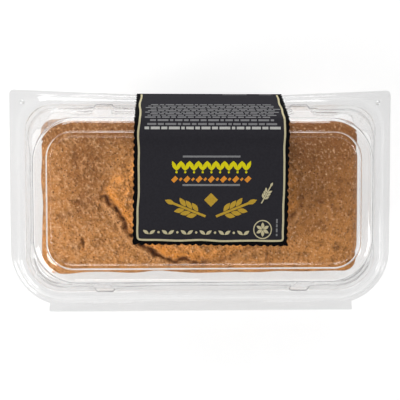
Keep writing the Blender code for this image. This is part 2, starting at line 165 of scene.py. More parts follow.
# The bloom's edge on the crust, clockwise from its left end: x, y and how far the crack gapes there
BLOOM_EDGE = (
    (-0.0616, 0.0040, 0.45), (-0.0560, 0.0140, 0.05), (-0.0500, 0.0220, 0.0), (-0.0400, 0.0280, 0.0),
    (-0.0200, 0.0320, 0.0), (0.0100, 0.0330, 0.0), (0.0350, 0.0300, 0.0), (0.0500, 0.0245, 0.05),
    (0.0575, 0.0160, 0.15), (0.0600, 0.0070, 0.20), (0.0585, -0.0010, 0.35), (0.0545, -0.0080, 0.60),
    (0.0480, -0.0140, 0.30), (0.0350, -0.0225, 0.20), (0.0228, -0.0300, 0.30), (0.0137, -0.0345, 0.35),
    (0.0040, -0.0364, 0.45), (-0.0071, -0.0362, 0.70), (-0.0113, -0.0352, 0.80),
    (-0.0175, -0.0362, 0.95), (-0.0225, -0.0336, 1.00), (-0.0300, -0.0288, 1.00),
    (-0.0375, -0.0240, 0.90), (-0.0432, -0.0192, 0.80), (-0.0485, -0.0096, 0.85),
    (-0.0539, -0.0016, 0.95), (-0.0580, 0.0034, 1.00),
)
BLOOM_LIFT = 0.0012
CRACK_DEPTH = 0.0024
CRACK_WIDTH = 0.0015

# Where the rim swells out (below 0, draws in): place, half size and amount
RIM_SWELLS = (
    ((-0.0815, -0.0440), 0.0080, 0.0012),
    ((-0.0265, -0.0430), 0.0070, -0.0014),
    ((0.0060, -0.0440), 0.0100, 0.0005),
    ((0.0900, -0.0400), 0.0120, -0.0010),
)

# Where the crust is browner (below 0, paler) than around: place, half size, turn and amount
# The two entries along the back are painted shade; the others are the crust's baked colour
BROWNING_AND_SHADE_SPOTS = (
    ((-0.0676, 0.0200), (0.0130, 0.0150), 0, 0.42),
    ((-0.0705, -0.0015), (0.0110, 0.0070), 20, 0.50),
    ((-0.0700, 0.0420), (0.0300, 0.0050), 0, 0.50),
    ((-0.0496, 0.0190), (0.0100, 0.0150), 0, -0.40),
    ((-0.0500, -0.0300), (0.0160, 0.0100), -30, -0.15),
    ((-0.0050, -0.0370), (0.0420, 0.0100), 0, -0.80),
    ((0.0700, -0.0310), (0.0260, 0.0120), 8, -0.40),
    ((0.0640, 0.0100), (0.0080, 0.0160), -25, 0.05),
    ((0.0600, 0.0370), (0.0320, 0.0100), 0, 0.65),
)

# What the crust's mesh tells its finish, each from 0 to 1
CRUST_MARKS = ("browned_and_shade", "bloom", "fresh", "lip", "crack", "ridge", "side")

# Hollows (below 0, lumps) in the crust: place, half size, turn in degrees and depth
HOLLOWS = (
    ((-0.0738, 0.0004), (0.0050, 0.0030), 0, 0.0018),
    ((-0.0722, -0.0240), (0.0010, 0.0040), 12, 0.0024),
    ((-0.0766, 0.0284), (0.0030, 0.0080), 10, 0.0018),
    ((0.0700, 0.0010), (0.0090, 0.0030), 18, 0.0010),
    ((0.0665, 0.0030), (0.0022, 0.0018), 20, -0.0012),
    ((0.0725, -0.0005), (0.0030, 0.0020), 0, 0.0014),
    ((0.0398, -0.0330), (0.0009, 0.0060), -4, 0.0011),
    ((0.0380, -0.0330), (0.0009, 0.0060), -4, -0.0007),
    ((-0.0046, -0.0345), (0.0022, 0.0022), 0, -0.0011),
    ((0.0027, -0.0352), (0.0020, 0.0018), 0, -0.0010),
    ((0.0560, 0.0100), (0.0030, 0.0060), 25, -0.0009),
    ((0.0545, -0.0030), (0.0030, 0.0040), -20, -0.0007),
    ((-0.0500, 0.0060), (0.0040, 0.0060), 20, -0.0008),
)

# The paper label, stuck to the lid's top and drawn down over the back edge to the tray
PAPER = 0.00025
INK = 0.00003
INK_STEP = 0.000001
TOOTH_SHADE = 0.88
LABEL_WIDTH = 0.0888
LABEL_TURN = math.tan(math.radians(0.9))
LABEL_RIM = 0.0026
LABEL_COLUMNS = 150
LABEL_PITCH = 0.0006
DECKLE_PITCH = 0.0042
DECKLE_DEPTH = 0.00080
LID_BACK = CENTRE_Y + 0.0777 / 2
PANEL_TOP = LID_TOP - LID_PANEL_DROP + SEAM_GAP
FLANGE_BACK = CENTRE_Y + FLANGE_DEPTH / 2 - BOW + SEAM_GAP
LABEL_PATH = (
    (CENTRE_Y - 0.0777 / 2 + 0.0133, PANEL_TOP),
    (LID_BACK - 0.0065, PANEL_TOP),
    (LID_BACK - 0.0030, LID_TOP + SEAM_GAP),
    (LID_BACK - 0.0002, LID_TOP + SEAM_GAP),
    *[over_edge(tilt) for tilt in (20, 42, 64)],
    (FLANGE_BACK, SEAM_HEIGHT + SEAM_GAP * 1.5 + SHEET),
    (FLANGE_BACK, SEAM_HEIGHT - SEAM_GAP * 1.5 - SHEET),
    (CENTRE_Y + 0.04606, 0.0130),
    (CENTRE_Y + 0.04235, 0.0050),
)

# The view, the softboxes (place, width, height and power), where they aim, the floor, the sky's
# strength overhead and at the horizon, and the light behind the table
CAMERA_PLACE = (-0.020632, 0.022881, 0.534363)
CAMERA_TURN = (-0.044782, -0.039448, -0.000227)
CAMERA_LENS = 36.0 * 799.13 / 400
CAMERA_SENSOR = 36.0
SOFTBOXES = {
    "front_softbox": ((-0.11, -1.10, 0.60), 0.30, 0.16, 0.4),
    "left_softbox": ((-0.89, -0.55, 0.66), 0.62, 0.50, 8.6),
    "right_softbox": ((1.04, -0.28, 0.62), 0.40, 0.45, 2.4),
    "back_softbox": ((-0.12, 1.05, 0.60), 0.85, 0.76, 8.0),
}
LIGHT_AIM = (0.0, 0.0, 0.04)
FLOOR_HALF_WIDTH = 3.0
SKY_OVERHEAD = 0.08
SKY_HORIZON = 0.50
TABLE_GLOW = 0.76


# Small helpers


def smoothstep(low, high, value):
    """0 at low, 1 at high and an S curve between them."""
    share = min(1.0, max(0.0, (value - low) / (high - low)))
    return share * share * (3 - 2 * share)


def between(a, b, share):
    """The numbers a share of the way from a to b."""
    return [p + (q - p) * share for p, q in zip(a, b)]


def soften(stations, reach, steps=4):
    """Round each bend of a run of stations, starting up to reach before it."""
    softened = [list(stations[0])]
    for before, bend, after in zip(stations, stations[1:], stations[2:]):
        start = between(bend, before, min(0.4, reach / math.dist(bend, before)))
        end = between(bend, after, min(0.4, reach / math.dist(bend, after)))
        for step in range(steps + 1):
            share = step / steps
            softened.append(between(between(start, bend, share), between(bend, end, share), share))
    softened.append(list(stations[-1]))
    return softened


def linear(hex_colour):
    """An sRGB hex colour as linear red, green and blue with full alpha."""
    parts = [int(hex_colour[i:i + 2], 16) / 255 for i in (0, 2, 4)]
    return [v / 12.92 if v <= 0.04045 else ((v + 0.055) / 1.055) ** 2.4 for v in parts] + [1.0]


def add_node(material, kind, links=None, **settings):
    """Add a node, set its own settings, and link or set the sockets that links names."""
    tree = material.node_tree
    node = tree.nodes.new(kind)
    for name, value in settings.items():
        setattr(node, name, value)
    for name, value in (links or {}).items():
        if isinstance(value, bpy.types.NodeSocket):
            tree.links.new(value, node.inputs[name])
        else:
            node.inputs[name].default_value = value
    return node


def new_material(name):
    """A material with its main shader and its output."""
    material = bpy.data.materials.new(name)
    material.use_nodes = True
    nodes = material.node_tree.nodes
    return material, nodes["Principled BSDF"], nodes["Material Output"]


def make_piece(name, bm, material, node, sharp=40.0, flat=False):
    """Turn a bmesh into a piece that stands for a part of the pack."""
    mesh = bpy.data.meshes.new(name)
    bm.to_mesh(mesh)
    bm.free()
    if not flat:
        mesh.shade_smooth()
        mesh.set_sharp_from_angle(angle=math.radians(sharp))
    mesh.materials.append(material)
    piece = bpy.data.objects.new(name, mesh)
    bpy.context.collection.objects.link(piece)
    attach(piece, "root")
    if node:
        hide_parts(node)
    return piece


def thicken(piece, thickness, offset):
    """Give a surface a thickness, on the side that offset names."""
    solidify = piece.modifiers.new("Thickness", "SOLIDIFY")
    solidify.thickness = thickness
    solidify.offset = offset
    solidify.use_even_offset = True


def extrude_run(bm, run, places, closed=False):
    """Extrude a run of vertices to new places and give back the new run in order."""
    ahead = run[1:] + run[:1] if closed else run[1:]
    edges = [bm.edges.get((a, b)) for a, b in zip(run, ahead)]
    made = set(bmesh.ops.extrude_edge_only(bm, edges=edges)["geom"])
    following = []
    for vert, place in zip(run, places):
        mate = next(e.other_vert(vert) for e in vert.link_edges if e.other_vert(vert) in made)
        mate.co = place
        following.append(mate)
    return following


# Materials


def clear_sheet():
    """Clear PET, thermoformed: glassy, with a stretched sheet's faint ripple about 22 mm across."""
    material, shader, output = new_material("clear PET, thermoformed")
    shader.inputs["Base Color"].default_value = linear("F8F8F8")
    shader.inputs["Roughness"].default_value = 0.02
    shader.inputs["IOR"].default_value = 1.57
    shader.inputs["Transmission Weight"].default_value = 1.0
    place = add_node(material, "ShaderNodeTexCoord").outputs["Object"]
    ripple = add_node(material, "ShaderNodeTexNoise", {"Vector": place, "Scale": 45.0, "Detail": 1.0})
    bump = add_node(material, "ShaderNodeBump", {
        "Height": ripple.outputs["Fac"], "Strength": 0.08, "Distance": 0.0006})
    material.node_tree.links.new(bump.outputs["Normal"], shader.inputs["Normal"])

    # Light passes through the sheet to the cake without a hard shadow
    shadow = add_node(material, "ShaderNodeLightPath").outputs["Is Shadow Ray"]
    open_air = add_node(material, "ShaderNodeBsdfTransparent", {"Color": linear("FAFAFA")})
    mixed = add_node(material, "ShaderNodeMixShader", {
        0: shadow, 1: shader.outputs["BSDF"], 2: open_air.outputs["BSDF"]})
    material.node_tree.links.new(mixed.outputs["Shader"], output.inputs["Surface"])
    return material


def mix_colour(material, share, first, second):
    """A colour between two, as a socket."""
    return add_node(material, "ShaderNodeMix", {
        0: share, 6: first, 7: second}, data_type="RGBA").outputs[2]


def share_of(material, value, low, high):
    """How far a value is on its way from low to high, as a socket."""
    return add_node(material, "ShaderNodeMapRange", {
        "Value": value, "From Min": low, "From Max": high}, interpolation_type="SMOOTHSTEP").outputs[0]


def baked_crust():
    """Baked pound cake crust: greasy beads, with painted highlight on top and painted shade between."""
    material, shader, _ = new_material("pound cake crust, baked")
    place = add_node(material, "ShaderNodeTexCoord").outputs["Object"]
    browned_and_shade, bloom, fresh, lip, crack, ridge, side = [
        add_node(material, "ShaderNodeAttribute", attribute_name=name).outputs["Fac"]
        for name in CRUST_MARKS]

    # Uneven browning over about 35 mm on top of what the mesh says, and mottling over about 5 mm
    patches = add_node(material, "ShaderNodeTexNoise", {"Vector": place, "Scale": 28.0, "Detail": 2.0})
    mottle = add_node(material, "ShaderNodeTexNoise", {"Vector": place, "Scale": 200.0, "Detail": 3.0})
    # The mesh's mark is partly painted shade, darker towards the right and the back
    browning_and_shade = add_node(material, "ShaderNodeMath", {
        0: patches.outputs["Fac"], 1: 0.6, 2: browned_and_shade}, operation="MULTIPLY_ADD").outputs[0]
    crust = mix_colour(material, share_of(material, browning_and_shade, 0.25, 1.35),
                       linear("CF8C49"), linear("8E5826"))
    crust = mix_colour(material, bloom, crust, linear("FAA855"))
    crust = mix_colour(material, side, crust, linear("B98550"))
    crust = mix_colour(material, share_of(material, mottle.outputs["Fac"], 0.62, 0.22),
                       crust, linear("8E5B28"))
    # Painted highlight: paler along the tops of the wrinkles' ridges
    crust = mix_colour(material, share_of(material, ridge, 0.4, 1.2), crust, linear("CB9460"))
    crust = mix_colour(material, fresh, crust, linear("E59238"))
    # Painted highlight: the crack's outer lip, raised in the mesh, painted paler on its lit slope
    crust = mix_colour(material, lip, crust, linear("DB9D62"))

    # Beads about 1.5 mm apart with painted highlight on top, a grain of about 1.6 mm, and pits about 2.6
    # mm apart
    beads = add_node(material, "ShaderNodeTexVoronoi", {"Vector": place, "Scale": 650.0})
    grain = add_node(material, "ShaderNodeTexNoise", {
        "Vector": place, "Scale": 620.0, "Detail": 3.0, "Roughness": 0.65})
    pit_shade = add_node(material, "ShaderNodeTexVoronoi", {"Vector": place, "Scale": 380.0})
    bead_top_highlight = add_node(material, "ShaderNodeMath", {
        0: share_of(material, beads.outputs["Distance"], 0.80, 0.15),
        1: share_of(material, grain.outputs["Fac"], 0.48, 0.78)}, operation="MULTIPLY").outputs[0]
    # Painted highlight: pale glints on the bead tops, where the grain is high
    crust = mix_colour(material, bead_top_highlight, crust, linear("FACDA0"))
    # Painted shade: dark brown where the grain is low and at the middle of each pit
    crust = mix_colour(material, share_of(material, grain.outputs["Fac"], 0.48, 0.20),
                       crust, linear("633914"))
    crust = mix_colour(material, share_of(material, pit_shade.outputs["Distance"], 0.26, 0.06),
                       crust, linear("643812"))
    # Painted shade: dark brown in the crack's groove and in the deeper hollows
    crust = mix_colour(material, crack, crust, linear("6A3A12"))
    material.node_tree.links.new(crust, shader.inputs["Base Color"])

    height = add_node(material, "ShaderNodeMath", {
        0: grain.outputs["Fac"], 1: beads.outputs["Distance"]}, operation="SUBTRACT").outputs[0]
    bump = add_node(material, "ShaderNodeBump", {"Height": height, "Strength": 1.0, "Distance": 0.0007})
    material.node_tree.links.new(bump.outputs["Normal"], shader.inputs["Normal"])
    shader.inputs["Roughness"].default_value = 0.45
    shader.inputs["IOR"].default_value = 1.45
    shader.inputs["Specular IOR Level"].default_value = 0.25
    return material


def printed_paper(name, colour, roughness, rim_colour=None):
    """Paper or the ink on it: nearly matt, with the paper's tooth drawn as coarse as 1 mm to show."""
    material, shader, _ = new_material(name)
    place = add_node(material, "ShaderNodeTexCoord").outputs["Object"]
    tooth = add_node(material, "ShaderNodeTexNoise", {"Vector": place, "Scale": 900.0, "Detail": 2.0})
    tone = mix_colour(material, share_of(material, tooth.outputs["Fac"], 0.30, 0.70),
                      [c * TOOTH_SHADE for c in linear(colour)[:3]] + [1.0], linear(colour))
    if rim_colour:
        rim = add_node(material, "ShaderNodeAttribute", attribute_name="rim").outputs["Fac"]
        tone = mix_colour(material, rim, tone, linear(rim_colour))
    material.node_tree.links.new(tone, shader.inputs["Base Color"])
    bump = add_node(material, "ShaderNodeBump", {
        "Height": tooth.outputs["Fac"], "Strength": 0.3, "Distance": 0.0001})
    material.node_tree.links.new(bump.outputs["Normal"], shader.inputs["Normal"])
    shader.inputs["Roughness"].default_value = roughness
    shader.inputs["IOR"].default_value = 1.50
    shader.inputs["Specular IOR Level"].default_value = 0.03
    return material


def light_table():
    """White acrylic with a little light behind it, so that the pack hardly darkens it."""
    material, shader, _ = new_material("white acrylic, lit")
    shader.inputs["Base Color"].default_value = linear("A6A6A6")
    shader.inputs["Roughness"].default_value = 0.9
    shader.inputs["Emission Color"].default_value = linear("FFFFFF")
    shader.inputs["Emission Strength"].default_value = TABLE_GLOW
    return material


# Clamshell


def ring_points(ring):
    """Points once round a ring, anticlockwise from its right side."""
    half_length = ring.length / 2
    half_depth = ring.depth / 2
    snaps = [side * SNAP_X + step for side in (-1, 1) for step in SNAP_STATIONS]
    pulled = (LABEL_X + PULLED_HALF_WIDTH, LABEL_X, LABEL_X - PULLED_HALF_WIDTH)
    front = [(x, -half_depth) for x in sorted((*snaps, *STRAIGHT_X, 0.0))]
    back = [(x, half_depth) for x in sorted((*snaps, *STRAIGHT_X, *pulled), reverse=True)]
    left = [(-half_length, y) for y in reversed(STRAIGHT_Y)]
    right = [(half_length, y) for y in STRAIGHT_Y]
    points = []
    for quarter, (side_x, side_y) in enumerate(((1, 1), (-1, 1), (-1, -1), (1, -1))):
        radius = ring.back_radius if side_y > 0 else ring.front_radius
        middle_x = side_x * (half_length - radius)
        middle_y = side_y * (half_depth - radius)
        for step in range(CORNER_STEPS + 1):
            angle = math.pi / 2 * (quarter + step / CORNER_STEPS)
            points.append((middle_x + radius * math.cos(angle), middle_y + radius * math.sin(angle)))
        points += (back, left, front, right)[quarter]
    return [formed_place(ring, x, y) for x, y in points]


def formed_place(ring, x, y):
    """A place on the sheet, with the drawn-in back edge, the snap buttons and a slight waver."""
    run = ring.length / 2 - PULLED_HALF_WIDTH - math.copysign(LABEL_X, x)
    along = min(1.0, max(0.0, (ring.length / 2 - abs(x)) / run))
    at_back = max(0.0, y / (ring.depth / 2)) ** 6
    y -= ring.bow * along * at_back
    on_button = smoothstep(SNAP_HALF_LENGTH + 0.0010, SNAP_HALF_LENGTH - 0.0004, abs(abs(x) - SNAP_X))
    on_button *= smoothstep(SNAP_TOP + 0.0014, SNAP_TOP - 0.0014, ring.height)
    if SNAP_FOOT <= ring.height < LID_TOP - EDGE_DROP and abs(y) > ring.depth / 2 - 0.0010:
        y = math.copysign(abs(y) + on_button * max(0.0, SNAP_FACE - abs(y)), y)
    waver = WAVER * noise.noise(Vector((x, y, ring.height)) / 0.030)
    outward = Vector((x, y, 0.0)).normalized()
    return Vector((x, CENTRE_Y + y, ring.height)) + outward * waver


def lid_profile():
    """The lid's rings with soft creases and extra rings across the snap buttons."""
    rings = [Ring(*station) for station in soften(LID_RINGS, BEND_REACH)]
    upper = next(i for i, ring in enumerate(rings) if ring.height < SNAP_HEIGHTS[0])
    wall_top = rings[upper - 1]
    wall_foot = rings[upper]
    extra = []
    for height in SNAP_HEIGHTS:
        share = (wall_top.height - height) / (wall_top.height - wall_foot.height)
        extra.append(Ring(*between(wall_top, wall_foot, share)))
    return rings[:upper] + extra + rings[upper:]


def formed_half(bm, rings):
    """One half of the clamshell, grown ring by ring from its flat panel to its rim."""
    rim = [bm.verts.new(point) for point in ring_points(rings[0])]
    bm.faces.new(rim)
    for ring in rings[1:]:
        rim = extrude_run(bm, rim, ring_points(ring), closed=True)
    return rim


def extrude_strip(bm, rim):
    """The straight front strip beyond the flange, and its front edges for the fold."""
    turn = math.pi / 2 * STRIP_STEPS / CORNER_STEPS
    reach = FLANGE_LENGTH / 2 - FLANGE_FRONT_RADIUS * (1 - math.sin(turn)) + 0.0004
    edges = [bm.edges.get((a, b)) for a, b in zip(rim, rim[1:] + rim[:1])
             if max(abs(a.co.x), abs(b.co.x)) < reach and max(a.co.y, b.co.y) < 0]
    for side in (-1, 1):
        end_edge = max(edges, key=lambda edge: side * (edge.verts[0].co.x + edge.verts[1].co.x))
        inner, outer = sorted(end_edge.verts, key=lambda vert: side * vert.co.x)
        inner.co = outer.co + (inner.co - outer.co).normalized() * SHEET / 2
    made = bmesh.ops.extrude_edge_only(bm, edges=edges)["geom"]
    front = SHEET - TOTAL_DEPTH / 2
    for vert in (item for item in made if isinstance(item, bmesh.types.BMVert)):
        vert.co.y = front
    return [item for item in made if isinstance(item, bmesh.types.BMEdge)
            and all(v.co.y < front + SHEET for v in item.verts)]


def make_clamshell(material):
    """Tray and lid as one sheet, joined along the fold at the front."""
    bm = bmesh.new()
    tray_rings = [Ring(*station) for station in soften(TRAY_RINGS, BEND_REACH)]
    tray_edges = extrude_strip(bm, formed_half(bm, tray_rings))
    lid_edges = extrude_strip(bm, formed_half(bm, lid_profile()))
    bmesh.ops.bridge_loops(bm, edges=tray_edges + lid_edges)
    bmesh.ops.recalc_face_normals(bm, faces=bm.faces)
    floor_panel = next(f for f in bm.faces if len(f.verts) > 4 and f.calc_center_median().z < SEAM_HEIGHT)
    if floor_panel.normal.z < 0:
        bmesh.ops.reverse_faces(bm, faces=bm.faces)
    piece = make_piece("clear_clamshell", bm, material, "clamshell", sharp=50.0)
    thicken(piece, SHEET, -1)
    return piece


def make_studs(material):
    """A low hollow stud on each back corner of the flange."""
    bm = bmesh.new()
    for x, y in STUD_PLACES:
        made = bmesh.ops.create_uvsphere(bm, u_segments=24, v_segments=16, radius=STUD_RADIUS)["verts"]
        low = [v for v in made if v.co.z < -0.0001]
        bmesh.ops.delete(bm, geom=low, context="VERTS")
        kept = [v for v in made if v.is_valid]
        bmesh.ops.translate(bm, vec=(x, y, SEAM_HEIGHT + SEAM_GAP / 2 + SHEET), verts=kept)
    piece = make_piece("corner_studs", bm, material, None)
    thicken(piece, SHEET / 2, -1)
    return piece


# Cake


def round_corner(x, y):
    """Move a point of the rim's rectangle so that its corners become round."""
    half_length = CAKE_RIM_LENGTH / 2
    half_depth = CAKE_RIM_DEPTH / 2
    beyond_x = abs(x) - (half_length - CAKE_RIM_RADIUS)
    beyond_y = abs(y) - (half_depth - CAKE_RIM_RADIUS)
    if beyond_x <= 0 or beyond_y <= 0:
        return x, y
    share = max(beyond_x, beyond_y) / math.hypot(beyond_x, beyond_y)
    new_x = math.copysign(half_length - CAKE_RIM_RADIUS + beyond_x * share, x)
    new_y = math.copysign(half_depth - CAKE_RIM_RADIUS + beyond_y * share, y)
    return new_x, new_y


def edge_distance(x, y):
    """Distance of a place on the top crust from the loaf's rim."""
    from_end = CAKE_RIM_LENGTH / 2 - abs(x)
    from_side = CAKE_RIM_DEPTH / 2 - abs(y)
    if max(from_end, from_side) < CAKE_RIM_RADIUS:
        return CAKE_RIM_RADIUS - math.hypot(CAKE_RIM_RADIUS - from_end, CAKE_RIM_RADIUS - from_side)
    return min(from_end, from_side)


class BloomEdge:
    """The closed edge of the bloom, to ask how far a place is inside it."""

    def __init__(self):
        loop = [*BLOOM_EDGE, BLOOM_EDGE[0]]
        self.places = []
        for a, b in zip(loop, loop[1:]):
            self.places += [between(a, b, step / 8) for step in range(8)]
        self.tree = kdtree.KDTree(len(self.places))
        for number, (x, y, _) in enumerate(self.places):
            self.tree.insert((x, y, 0.0), number)
        self.tree.balance()

    def inside(self, x, y):
        """Distance inside the edge, below 0 outside it, and how far the crack gapes nearby."""
        wander = 0.0016 * noise.noise(Vector((x, y, 0.1)) / 0.006)
        wander += 0.0007 * noise.noise(Vector((x, y, 0.3)) / 0.0022)
        near, number, away = self.tree.find((x, y, 0.0))
        ahead = self.places[(number + 1) % len(self.places)]
        back = self.places[number - 1]
        run_x = ahead[0] - back[0]
        run_y = ahead[1] - back[1]
        clockwise = run_x * (y - near.y) - run_y * (x - near.x)
        distance = -clockwise / math.hypot(run_x, run_y)
        return math.copysign(away, distance) + wander, self.places[number][2]


def hollow(x, y, place, size, turn, depth):
    """A soft hollow in the crust."""
    angle = math.radians(turn)
    off_x = x - place[0]
    off_y = y - place[1]
    across = (off_x * math.cos(angle) + off_y * math.sin(angle)) / size[0]
    along = (off_y * math.cos(angle) - off_x * math.sin(angle)) / size[1]
    return depth * math.exp(-across * across - along * along)


def wrinkles(x, y):
    """Fine slanting wrinkles from 0 in the valleys to 1 on the ridges, strongest on the left."""
    slant = Vector((x * 0.8 + y * 0.6, (y * 0.8 - x * 0.6) / 3.0, 0.0))
    ridge = 1 - min(1.0, abs(noise.noise(slant / 0.0021)) * 3)
    return ridge * (0.30 + 0.70 * smoothstep(-0.020, -0.065, x))


def crust_relief(x, y, edge):
    """Height of the top crust above its rim at a place, and the marks for its finish."""
    along = abs(x) / (CAKE_RIM_LENGTH / 2)
    across = abs(y) / (CAKE_RIM_DEPTH / 2)
    arch = (max(0.0, 1 - along ** 4.5) * max(0.0, 1 - across ** 2.6)) ** 0.8
    x += CAKE_MIDDLE[0]
    y += CAKE_MIDDLE[1]
    inside, gape = edge.inside(x, y)
    bloom = smoothstep(-0.0005, 0.0060, inside)
    broken = min(1.0, max(0.0, 0.70 + 1.1 * noise.noise(Vector((x, y, 0.5)) / 0.0035)))
    crack = gape * broken * math.exp(-(inside / CRACK_WIDTH) ** 2)
    fresh = gape * math.exp(-((inside - 0.0034) / 0.0026) ** 2)
    lip = gape * math.exp(-((inside + 0.0032) / 0.0014) ** 2)
    ridge = wrinkles(x, y) * (1 - bloom)
    crumb = 0.0010 * noise.noise(Vector((x, y, 0.003)) / 0.0042) * bloom
    swell = 0.0010 * noise.noise(Vector((x, y, 0.007)) / 0.028)
    bumps = 0.00030 * noise.noise(Vector((x, y, 0.2)) / 0.0016)
    bumps += 0.00024 * noise.noise(Vector((x, y, 0.4)) / 0.0038)
    dips = sum(hollow(x, y, *shape) for shape in HOLLOWS)
    relief = BLOOM_LIFT * bloom - CRACK_DEPTH * crack + 0.0005 * lip + crumb + swell - dips
    relief += 0.0003 * ridge
    inland = smoothstep(0.0, 0.25, arch)
    # Darker towards the right and the back: partly the crust's baked colour, partly painted shade
    browned_and_shade = 0.25 + 0.20 * smoothstep(-0.020, 0.050, x) + 0.25 * smoothstep(-0.030, 0.030, y)
    # The band along the back edge is painted shade, as are the spots along the back in the table
    browned_and_shade += 0.45 * smoothstep(0.032, 0.043, y) + sum(hollow(x, y, *shape) for shape in BROWNING_AND_SHADE_SPOTS)
    marks = {
        "browned_and_shade": browned_and_shade,
        "bloom": bloom * 0.75,
        "fresh": min(1.0, fresh * 1.1),
        # The lip mark paints a highlight on the crack's outer lip
        "lip": min(1.0, lip * 0.9),
        # Painted shade: dark in the crack, along the gaping edge and in the deeper hollows
        "crack": min(1.0, crack * 1.2 + 0.6 * gape * math.exp(-(inside / 0.0008) ** 2)
                     + 0.7 * smoothstep(0.0008, 0.0024, dips)),
        # The ridge mark lifts the wrinkles and paints their tops paler as a highlight
        "ridge": ridge,
    }
    return CAKE_DOME * arch + inland * relief + bumps, marks


def rim_swell(x, y):
    """How far the loaf's rim stands out of its plain outline near a place."""
    swell = 0.0009 * noise.noise(Vector((x, y, 0.9)) / 0.018)
    for place, size, amount in RIM_SWELLS:
        away = math.hypot(x - place[0], y - place[1]) / size
        swell += amount * math.exp(-away * away)
    return swell


def side_point(top, share):
    """A point of the loaf's side, a share of the way down from the rim to the base."""
    narrow_x = share * (CAKE_RIM_LENGTH - CAKE_BASE_LENGTH) / CAKE_RIM_LENGTH
    narrow_y = share * (CAKE_RIM_DEPTH - CAKE_BASE_DEPTH) / CAKE_RIM_DEPTH
    outward = Vector((top.x / CAKE_RIM_LENGTH, top.y / CAKE_RIM_DEPTH, 0.0)).normalized()
    place = Vector((top.x * (1 - narrow_x), top.y * (1 - narrow_y),
                    top.z + (CAKE_BASE - top.z) * share))
    uneven = 0.0007 * noise.noise(place / 0.015) + 0.00025 * noise.noise(place / 0.0030)
    bulge = (0.0010 * math.sin(math.pi * share) + uneven) * math.sin(math.pi * share)
    return place + outward * bulge


def ordered_rim(start):
    """The boundary vertices of a surface in order, from a first one."""
    rim = [start]
    before = None
    while True:
        here = rim[-1]
        steps = [e.other_vert(here) for e in here.link_edges if e.is_boundary]
        following = steps[0] if steps[0] is not before else steps[1]
        if following is start:
            return rim
        before = here
        rim.append(following)


def make_cake(material):
    """The loaf: a gridded top crust, with its sides drawn down ring by ring to a flat base."""
    edge = BloomEdge()
    bm = bmesh.new()
    layers = {name: bm.verts.layers.float.new(name) for name in CRUST_MARKS}
    bmesh.ops.create_grid(bm, x_segments=CAKE_COLUMNS, y_segments=CAKE_ROWS, size=0.5)
    for vert in bm.verts:
        x, y = round_corner(vert.co.x * CAKE_RIM_LENGTH, vert.co.y * CAKE_RIM_DEPTH)
        outward = 1 - min(1.0, max(0.0, edge_distance(x, y)) / CRUST_SHOULDER)
        shoulder = CRUST_SHOULDER * (1 - math.sqrt(1 - outward ** 2)) / 2
        relief, marks = crust_relief(x, y, edge)
        for name, value in marks.items():
            vert[layers[name]] = value
        near_rim = smoothstep(0.015, 0.0, edge_distance(x, y))
        swell = Vector((x / CAKE_RIM_LENGTH, y / CAKE_RIM_DEPTH, 0.0)).normalized()
        swell *= near_rim * rim_swell(x, y)
        vert.co = Vector((x, y, CAKE_RIM_HEIGHT + relief - shoulder)) + swell

    rim = ordered_rim(next(v for v in bm.verts if v.is_boundary))
    top = [vert.co.copy() for vert in rim]
    for step in range(1, CAKE_SIDE_STEPS + 1):
        share = step / CAKE_SIDE_STEPS
        rim = extrude_run(bm, rim, [side_point(point, share) for point in top], closed=True)
        for vert in rim:
            vert[layers["side"]] = smoothstep(0.0, 0.25, share)
    bm.faces.new(rim)
    bmesh.ops.recalc_face_normals(bm, faces=bm.faces)
    bmesh.ops.translate(bm, vec=(*CAKE_MIDDLE, 0), verts=bm.verts)
    return make_piece("loaf", bm, material, "cake")


# Label


class LabelPath:
    """The label's run from its front edge over the lid and down the back, by length."""

    def __init__(self):
        self.points = [Vector((0.0, y, z)) for y, z in soften(LABEL_PATH, 0.0015)]
        self.lengths = [0.0]
        for a, b in zip(self.points, self.points[1:]):
            self.lengths.append(self.lengths[-1] + (b - a).length)

    def at(self, along):
        """The place at a length from the front edge, and the way out of the paper there."""
        number = 1
        while number < len(self.lengths) - 1 and self.lengths[number] < along:
            number += 1
        a, b = self.points[number - 1], self.points[number]
        run = (b - a).normalized()
        place = a + run * (along - self.lengths[number - 1])
        return place, Vector((0.0, -run.z, run.y))

    def length_at(self, y):
        """The length at which the label passes a place in Y, on its way back."""
        number = next(i for i, point in enumerate(self.points) if point.y > y)
        a, b = self.points[number - 1], self.points[number]
        return self.lengths[number - 1] + (b - a).length * (y - a.y) / (b.y - a.y)

    def place(self, across, along, lift):
        """A place on the label, slightly turned, at a height above the paper's inner face."""
        middle, out = self.at(along)
        front_share = smoothstep(0.030, 0.0, along)
        x = LABEL_X + across + (middle.y - CENTRE_Y) * LABEL_TURN
        skew = Vector((0.0, -across * LABEL_TURN * front_share, 0.0))
        return Vector((x, middle.y, middle.z)) + skew + out * lift


def deckle(length, seed):
    """How far the torn edge bites in or stands out, at a length along it."""
    drift = 1.6 * noise.noise(Vector((length, seed, 2.0)) / 0.012)
    scallop = abs(math.sin(math.pi * length / DECKLE_PITCH + seed + drift))
    ragged = noise.noise(Vector((length, seed, 0.0)) / 0.0015)
    return DECKLE_DEPTH * (0.55 - scallop) + 0.00035 * ragged


